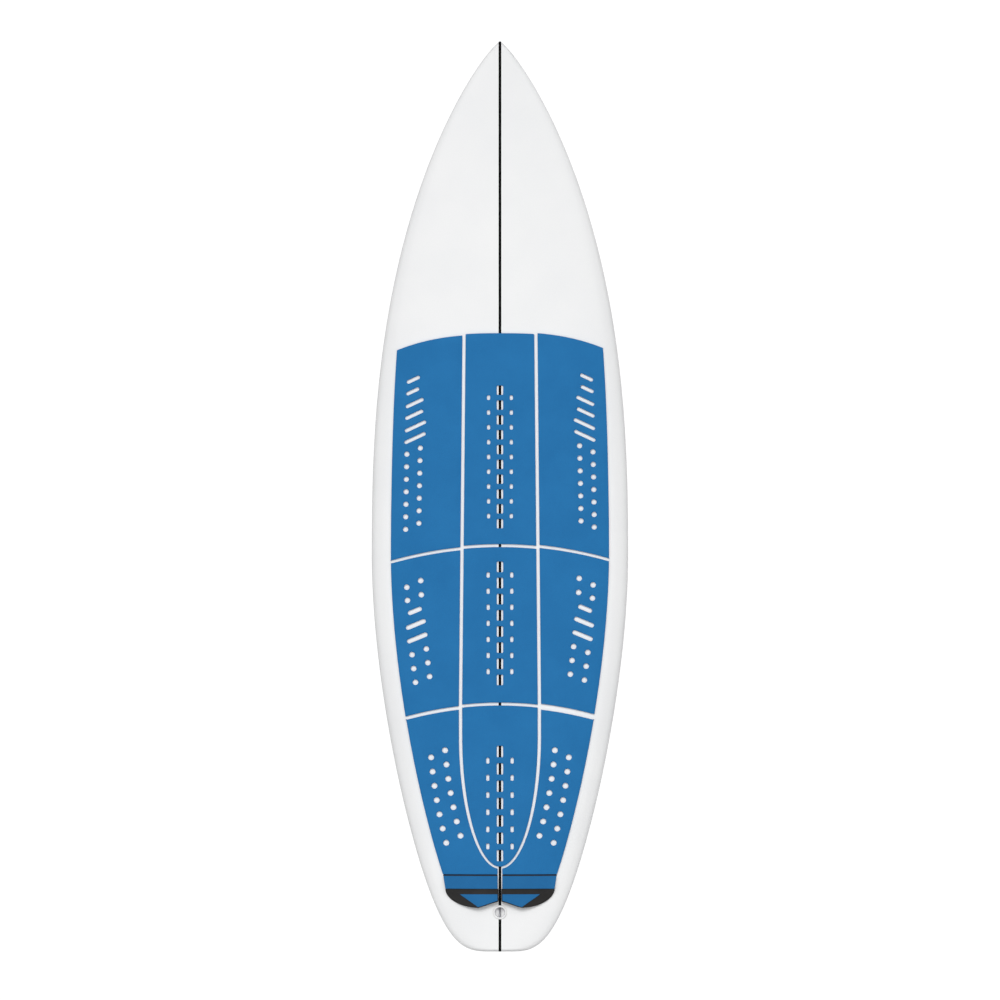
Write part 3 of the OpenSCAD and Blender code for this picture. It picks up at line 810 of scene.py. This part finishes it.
def build_leash_plug(plastic, steel):
    """The cup, and the pin across its recess."""
    place = leash_frame()
    rim = 0.0004  # height of the cup's rim over the deck
    edge, lip, foot = 0.0009, 0.0011, 0.0012  # radii of its rounds, from the outside in
    chamfer = 0.0003
    profile = [(0, -CUP_H), (CUP_R - chamfer, -CUP_H), (CUP_R, -CUP_H + chamfer)]
    profile += arc((CUP_R - edge, rim - edge), edge, 0, 90)
    profile += arc((RECESS_R + lip, rim - lip), lip, 90, 180)
    profile += arc((RECESS_R - foot, -RECESS_H + foot), foot, 0, -90)
    profile += [(0, -RECESS_H)]
    solid("leash_plug", [lathe(profile, place)], "board", ["leash_cup"], [plastic])
    chamfer, half = 0.0004, BAR_L / 2
    pin = [(0, -half), (BAR_R - chamfer, -half), (BAR_R, -half + chamfer)]
    neck, bare = BAR_R - 0.00012, RECESS_R - 0.0003  # a little thinner between the walls
    pin += [(BAR_R, -bare - 0.0002), (neck, -bare), (neck, bare), (BAR_R, bare + 0.0002)]
    pin += [(BAR_R, half - chamfer), (BAR_R - chamfer, half), (0, half)]
    along = place @ Matrix.Translation((0, 0, -BAR_DEPTH)) @ Matrix.Rotation(math.pi / 2, 4, "X")
    solid("leash_pin", [lathe(pin, along, 48)], "board", ["leash_bar"], [steel])


# -------------------------------------------------------------------- fins
FIN_BASE, FIN_H, FIN_T, FIN_REACH = 0.111, 0.115, 0.0065, 0.022
FIN_GAP = 0.0005
FIN_CANT, FIN_TOE = math.radians(6), math.radians(3)
SLOT_Y, SLOT_L, SLOT_T, TAB_H = (0.020, 0.091), 0.033, 0.006, 0.012
BOX_L, BOX_W = 0.130, 0.029
SIDE_REAR, CENTRE_REAR, RAIL_MARGIN = 0.290, 0.106, 0.032
SPAN_STEPS, CHORD_STEPS = 44, 30
FOIL_MOST = 0.385  # the most that the foil's formula reaches along the chord


def fin_frame(side):
    """The fin box's frame: y forward from the fin's rear end, z into the board."""
    y = -HALF_L + (SIDE_REAR if side else CENTRE_REAR)
    x = side * (float(plan(y)) - RAIL_MARGIN)
    z = float(bottom_z(x, y))
    pitch = math.atan((float(bottom_z(x, y + FIN_BASE)) - z) / FIN_BASE)
    middle = y + FIN_BASE / 2
    rise = float(bottom_z(x + PROBE, middle) - bottom_z(x - PROBE, middle))
    roll = -math.atan(rise / (2 * PROBE))
    turn = Matrix.Rotation(pitch, 4, "X") @ Matrix.Rotation(roll, 4, "Y")
    return Matrix.Translation((x, y, z)) @ turn @ Matrix.Rotation(side * FIN_TOE, 4, "Z")


def fin_front(t):
    """Front edge at depth share t."""
    return -FIN_REACH + (FIN_BASE + FIN_REACH) * (1 - t) ** 0.57


def fin_rear(t):
    """Rear edge at depth share t."""
    return 0.003 * math.sin(math.pi * t) - FIN_REACH * t**2.2


def fin_point(side, face, t, c):
    """A point of a fin at depth share t and chord share c, on one face."""
    share = 0.1 + 0.9 * math.sqrt(1 - c) * c / FOIL_MOST
    thick = FIN_T * (1 - 0.75 * t)
    bulge = 0 if face == -side else (0.5 if side == 0 else 1) * share * thick
    z = -FIN_GAP - t * (FIN_H - FIN_GAP)
    x = -side * thick / 2 + (side or face) * bulge - z * math.tan(side * FIN_CANT)
    return x, fin_rear(t) + (fin_front(t) - fin_rear(t)) * c, z


def fin_blade(side, place):
    """A fin without its tabs, its sections closer together at the tip."""
    shares = [(1 - math.cos(math.pi * k / CHORD_STEPS)) / 2 for k in range(CHORD_STEPS + 1)]
    points = []
    for i in range(SPAN_STEPS + 1):
        t = math.sin(math.radians(89.3) * i / SPAN_STEPS)
        points += [place @ Vector(fin_point(side, -1, t, c)) for c in shares]
        points += [place @ Vector(fin_point(side, 1, t, c)) for c in shares[::-1]]
    n = 2 * len(shares)
    faces = [
        (i * n + k, i * n + (k + 1) % n, (i + 1) * n + (k + 1) % n, (i + 1) * n + k)
        for i in range(SPAN_STEPS)
        for k in range(n)
    ]
    for first in (0, SPAN_STEPS * n):
        faces += [
            (first + k, first + k + 1, first + n - 2 - k, first + n - 1 - k)
            for k in range(CHORD_STEPS)
        ]
    return points, faces


def lean(side):
    """The sideways lean of a side fin, as a shear."""
    shear = Matrix.Identity(4)
    shear[0][2] = -math.tan(side * FIN_CANT)
    return shear


def build_fins(composite):
    """Three fins, each with two tabs that go into its box."""
    for side, part in ((-1, "left"), (0, "centre"), (1, "right")):
        place = fin_frame(side)
        shapes = [fin_blade(side, place)]
        for y in SLOT_Y:
            outline = slot_loop(0, y, SLOT_L, SLOT_T, 90)
            shapes.append(prism(outline, -FIN_GAP, TAB_H, place @ lean(side)))
        solid(f"{part}_fin", shapes, f"fin_{part}", [f"fin_{part}"],
              [composite], sharp=40)


# --------------------------------------------------------------- materials
def material(name, roughness, **constants):
    """A new material and its tree, with constants on the shader's sockets."""
    made = bpy.data.materials.new(name)
    made.use_nodes = True
    shader = made.node_tree.nodes["Principled BSDF"]
    shader.inputs["Roughness"].default_value = roughness
    for key, value in constants.items():
        shader.inputs[key.replace("_", " ")].default_value = value
    return made, made.node_tree, shader


def node(tree, kind, inputs=None, **settings):
    """A new node with its inputs linked or set."""
    made = tree.nodes.new(kind)
    for key, value in settings.items():
        setattr(made, key, value)
    for key, value in (inputs or {}).items():
        if isinstance(value, bpy.types.NodeSocket):
            tree.links.new(value, made.inputs[key])
        else:
            made.inputs[key].default_value = value
    return made


def place_coords(tree, scale=(1, 1, 1), turn=0.0):
    """Positions in the board's own frame, scaled, and turned about Z."""
    spot = node(tree, "ShaderNodeTexCoord").outputs["Object"]
    turned = {"Vector": spot, "Scale": scale, "Rotation": (0, 0, turn)}
    return node(tree, "ShaderNodeMapping", turned).outputs["Vector"]


def noise(tree, where, scale, detail=3.0):
    """Cloudy noise from 0 to 1."""
    inputs = {"Vector": where, "Scale": scale, "Detail": detail}
    return node(tree, "ShaderNodeTexNoise", inputs).outputs["Fac"]


def ramp(tree, factor, low, high, start=0.3, end=0.7):
    """A blend from one colour to another as the factor goes from start to end."""
    made = node(tree, "ShaderNodeValToRGB", {"Fac": factor})
    first, last = made.color_ramp.elements
    first.position, last.position = start, end
    first.color, last.color = (*low, 1), (*high, 1)
    return made.outputs["Color"]


def mixed(tree, a, b, factor, blend="MIX"):
    """Two colours mixed or multiplied."""
    made = node(tree, "ShaderNodeMix", data_type="RGBA", blend_type=blend)
    for socket, value in ((made.inputs[0], factor), (made.inputs[6], a), (made.inputs[7], b)):
        if isinstance(value, bpy.types.NodeSocket):
            tree.links.new(value, socket)
        else:
            socket.default_value = value
    return made.outputs[2]


def span(tree, factor, low, high, start=0.3, end=0.7):
    """A value that goes from low to high as the factor goes from start to end."""
    inputs = {"Value": factor, "From Min": start, "From Max": end, "To Min": low, "To Max": high}
    return node(tree, "ShaderNodeMapRange", inputs).outputs["Result"]


def bump(tree, height, distance, strength=1.0, under=None):
    """A normal raised by a height, on top of another normal if one is given."""
    inputs = {"Height": height, "Distance": distance, "Strength": strength}
    if under is not None:
        inputs["Normal"] = under
    return node(tree, "ShaderNodeBump", inputs).outputs["Normal"]


BAND_PITCH = 0.314  # distance between the bands of a wave texture of scale 1


def weave(tree, pitch, turn=0.0):
    """Over-and-under threads of a cloth, as a height from 0 to 1."""
    bands = []
    for direction in ("X", "Y"):
        where = place_coords(tree, turn=turn)
        inputs = {"Vector": where, "Scale": BAND_PITCH / pitch, "Distortion": 0.3}
        bands.append(node(tree, "ShaderNodeTexWave", inputs, bands_direction=direction).outputs["Fac"])
    product = node(tree, "ShaderNodeMath", operation="MULTIPLY")
    tree.links.new(bands[0], product.inputs[0])
    tree.links.new(bands[1], product.inputs[1])
    return product.outputs[0]


def finish(tree, shader, colour=None, roughness=None, normal=None):
    """Links what is given to the shader."""
    for name, value in (("Base Color", colour), ("Roughness", roughness), ("Normal", normal)):
        if value is not None:
            tree.links.new(value, shader.inputs[name])


def painted_rail_shade(tree):
    """Painted shade: greyer where the surface turns away from level, as round the rail, standing in
    for the light that falls off there.
    """
    normal = node(tree, "ShaderNodeTexCoord").outputs["Normal"]
    upright = node(tree, "ShaderNodeSeparateXYZ", {"Vector": normal}).outputs["Z"]
    level = node(tree, "ShaderNodeMath", {0: upright}, operation="ABSOLUTE").outputs["Value"]
    return ramp(tree, level, (0.78, 0.78, 0.78), (1, 1, 1), 0.5, 0.9)


def laminate():
    """Gloss-coated glass cloth over white foam."""
    constants = {"Specular_IOR_Level": 0.35, "Coat_Weight": 0.1, "Coat_Roughness": 0.08}
    made, tree, shader = material("laminate", 0.2, **constants)
    where = place_coords(tree)
    cloudy = ramp(tree, noise(tree, where, 7), (0.845, 0.848, 0.850), (0.880, 0.880, 0.877))
    cells = ramp(tree, noise(tree, where, 900, 2), (0.965, 0.965, 0.965), (1, 1, 1))
    threads = ramp(tree, weave(tree, 0.0012), (0.985, 0.987, 0.99), (1, 1, 1), 0, 1)
    colour = mixed(tree, mixed(tree, cloudy, cells, 1.0, "MULTIPLY"), threads, 1.0, "MULTIPLY")
    # painted shade: the laminate is made greyer where it turns away from level, to darken the rails
    colour = mixed(tree, colour, painted_rail_shade(tree), 1.0, "MULTIPLY")
    rough = span(tree, noise(tree, where, 24, 5), 0.14, 0.27)
    ripple = bump(tree, noise(tree, where, 60, 2), 0.0004, 0.25)
    finish(tree, shader, colour, rough, bump(tree, weave(tree, 0.0012), 0.00004, 0.3, ripple))
    return made


def stringer_line():
    """The dark stringer seen through the gloss coat."""
    made, tree, shader = material("stringer_line", 0.5, Specular_IOR_Level=0.02)
    grain = noise(tree, place_coords(tree, (900, 25, 900)), 1, 4)
    colour = ramp(tree, grain, (0.002, 0.002, 0.002), (0.007, 0.0065, 0.006))
    finish(tree, shader, colour, span(tree, grain, 0.4, 0.6))
    return made


def eva(name, dark, light, rough):
    """Closed-cell foam with a brushed, faintly pebbled face."""
    constants = {"Sheen_Weight": 0.03, "Sheen_Roughness": 0.5, "Specular_IOR_Level": 0.2}
    made, tree, shader = material(name, rough, **constants)
    where = place_coords(tree)
    patches = noise(tree, where, 16, 4)
    grains = noise(tree, where, 1500, 2)
    cells = node(tree, "ShaderNodeTexVoronoi", {"Vector": where, "Scale": 1100}).outputs["Distance"]
    base = ramp(tree, patches, dark, light)
    speckled = ramp(tree, grains, (0.80, 0.82, 0.84), (1, 1, 1), 0.35, 0.6)
    colour = mixed(tree, base, speckled, 1.0, "MULTIPLY")
    pebbles = bump(tree, cells, 0.00022, 0.6)
    fine = bump(tree, grains, 0.00012, 0.5, pebbles)
    finish(tree, shader, colour, span(tree, grains, rough - 0.08, rough + 0.06), fine)
    return made


def adhesive_film():
    """White carrier film with fine fibres."""
    made, tree, shader = material("adhesive_film", 0.45)
    fibres = noise(tree, place_coords(tree, (300, 900, 300)), 1, 3)
    finish(tree, shader, ramp(tree, fibres, (0.70, 0.70, 0.68), (0.80, 0.80, 0.78)),
           span(tree, fibres, 0.38, 0.55), bump(tree, fibres, 0.00005, 0.5))
    return made


def moulded(name, dark, light, rough, grain):
    """Injection-moulded plastic with faint flow marks and a fine grain."""
    made, tree, shader = material(name, rough)
    where = place_coords(tree)
    flow = noise(tree, where, 120, 3)
    skin_grain = noise(tree, where, 2500, 2)
    finish(tree, shader, ramp(tree, flow, dark, light), span(tree, flow, rough - 0.05, rough + 0.07),
           bump(tree, skin_grain, grain, 0.5))
    return made


def brushed_steel():
    """Steel with fine lines from its brushing."""
    made, tree, shader = material("brushed_steel", 0.3, Metallic=1.0)
    lines = noise(tree, place_coords(tree, (4000, 120, 4000)), 1, 3)
    finish(tree, shader, ramp(tree, lines, (0.17, 0.17, 0.18), (0.34, 0.34, 0.36)),
           span(tree, lines, 0.24, 0.42), bump(tree, lines, 0.00002, 0.6))
    return made


def fin_composite():
    """Dark glass-fibre cloth under a clear, lightly sanded coat."""
    made, tree, shader = material("fin_composite", 0.3, Coat_Weight=0.5, Coat_Roughness=0.12)
    cloth = weave(tree, 0.002, math.radians(45))
    clouds = noise(tree, place_coords(tree), 35, 4)
    threads = ramp(tree, cloth, (0.010, 0.011, 0.013), (0.055, 0.058, 0.064), 0, 0.9)
    colour = mixed(tree, threads, ramp(tree, clouds, (0.7, 0.7, 0.7), (1, 1, 1)), 1.0, "MULTIPLY")
    finish(tree, shader, colour, span(tree, clouds, 0.25, 0.42), bump(tree, cloth, 0.00005, 0.4))
    return made


def foam_core():
    """Cream-coloured blank foam with open cells."""
    made, tree, shader = material("foam_core", 0.9)
    where = place_coords(tree)
    cells = node(tree, "ShaderNodeTexVoronoi", {"Vector": where, "Scale": 1500}).outputs["Distance"]
    finish(tree, shader, ramp(tree, noise(tree, where, 30), (0.84, 0.82, 0.74), (0.90, 0.88, 0.81)),
           span(tree, cells, 0.85, 0.95), bump(tree, cells, 0.0002, 0.6))
    return made


def painted_wood():
    """The black stringer, its grain along the board."""
    made, tree, shader = material("stringer_wood", 0.55)
    grain = noise(tree, place_coords(tree, (700, 12, 260)), 1, 5)
    finish(tree, shader, ramp(tree, grain, (0.006, 0.005, 0.005), (0.022, 0.018, 0.015)),
           span(tree, grain, 0.45, 0.65), bump(tree, grain, 0.0001, 0.5))
    return made


def floor_white():
    """A white studio floor that glows, so no shadow shows on it."""
    made, tree, shader = material("floor_white", 0.9, Emission_Strength=1.0, Specular_IOR_Level=0.0)
    shader.inputs["Emission Color"].default_value = (1, 1, 1, 1)
    clouds = noise(tree, place_coords(tree), 0.8)
    finish(tree, shader, ramp(tree, clouds, (0.05, 0.05, 0.05), (0.07, 0.07, 0.07)))
    return made


def give(cad_node, made):
    """Puts a material on a CAD node that stays."""
    data = CAD[cad_node].data
    data.materials.clear()
    data.materials.append(made)


# --------------------------------------------------------------- the object
BOX_PLAY = 0.0002  # so that the holes in the skin clear the fin boxes
PLUG_CUT, BOX_CUT = 0.010, 0.008  # how far the cutters reach to either side of the skin


def build_board():
    """The two skins, with a hole for the leash plug and holes for the fin boxes."""
    both = [laminate(), stringer_line()]
    deck = solid("deck_skin", [skin(deck_z, 2.4)], "board", ["deck_glass"], both)
    ring = np.linspace(0, 2 * math.pi, 97)[:-1]
    hole = (CUP_R + PLUG_GAP) * np.stack([np.cos(ring), np.sin(ring)], 1)
    cut(deck, [prism(hole, -PLUG_CUT, PLUG_CUT, leash_frame())])
    bottom = solid("bottom_skin", [skin(bottom_z, 12)], "board", ["bottom_glass"], both)
    stadium = slot_loop(0, FIN_BASE / 2, BOX_L + BOX_PLAY, BOX_W + BOX_PLAY, 90)
    stadium = resample(stadium, 0.003)
    cut(bottom, [prism(stadium, -BOX_CUT, BOX_CUT, fin_frame(side)) for side in (-1, 0, 1)])


def dress_cad():
    """Materials for the CAD nodes that stay."""
    foam, wood = foam_core(), painted_wood()
    for name in ("foam_left", "foam_right"):
        give(name, foam)
    give("stringer", wood)
    box = moulded("box_plastic", (0.74, 0.75, 0.76), (0.82, 0.82, 0.82), 0.38, 0.00006)
    for part in ("left", "centre", "right"):
        give(f"fin_box_{part}", box)


build_board()
blue = eva("grip_blue", (0.0125, 0.160, 0.400), (0.0155, 0.176, 0.430), 0.78)
# painted shade: a darker copy of the grip blue, so that the kick's facings and caps look shaded
kick_blue_painted_shade = eva("grip_blue_painted_shade_kick", (0.0115, 0.133, 0.335), (0.0143, 0.148, 0.365), 0.78)
black = eva("grip_black", (0.0225, 0.021, 0.020), (0.036, 0.034, 0.0325), 0.8)
build_grip(blue, adhesive_film())
build_kick(kick_blue_painted_shade, black)
steel = brushed_steel()
give("fin_screws", steel)
plug = moulded("plug_plastic", (0.72, 0.72, 0.73), (0.80, 0.80, 0.80), 0.28, 0.00003)
build_leash_plug(plug, steel)
build_fins(fin_composite())
dress_cad()


# ------------------------------------------------------------------- studio
def lamp(kind, energy, at, **settings):
    """A light that points at the middle of the floor."""
    light = bpy.data.lights.new(kind.lower(), kind)
    light.energy = energy
    for key, value in settings.items():
        setattr(light, key, value)
    obj = bpy.data.objects.new(kind.lower(), light)
    obj.location = at
    obj.rotation_euler = (-Vector(at)).to_track_quat("-Z", "Y").to_euler()
    obj.visible_camera = False
    bpy.context.scene.collection.objects.link(obj)


FLOOR_R = 120  # metres, so that low views see no edge


def studio():
    """A glowing white floor, a wide soft light overhead and a key light from the nose."""
    scene = bpy.context.scene
    scene.view_settings.view_transform = "Standard"
    floor = bpy.data.objects.new("floor", bpy.data.meshes.new("floor"))
    ring = [2 * math.pi * k / 64 for k in range(64)]
    corners = [(FLOOR_R * math.cos(a), FLOOR_R * math.sin(a), -0.001) for a in ring]
    floor.data.from_pydata(corners, [], [tuple(range(64))])
    floor.data.materials.append(floor_white())
    scene.collection.objects.link(floor)

    world = bpy.data.worlds.new("studio")
    world.use_nodes = True
    world.node_tree.nodes["Background"].inputs["Color"].default_value = (0.62, 0.63, 0.65, 1)
    world.node_tree.nodes["Background"].inputs["Strength"].default_value = 0.22
    scene.world = world
    lamp("AREA", 178, (0, 0, 4.5), shape="SQUARE", size=7.0)
    lamp("SUN", 1.36, (-0.4, 2.6, 6.4), angle=math.radians(18))


def camera():
    """Straight down on the deck with the nose at the top of the picture."""
    lens = bpy.data.cameras.new("camera")
    lens.lens, lens.sensor_width = 250, 36  # a long lens, so nearly without perspective
    lens.clip_start, lens.clip_end = 1, 100
    obj = bpy.data.objects.new("camera", lens)
    obj.location = (0.0001, -0.0048, 14.14)
    bpy.context.scene.collection.objects.link(obj)
    bpy.context.scene.camera = obj


studio()
camera()
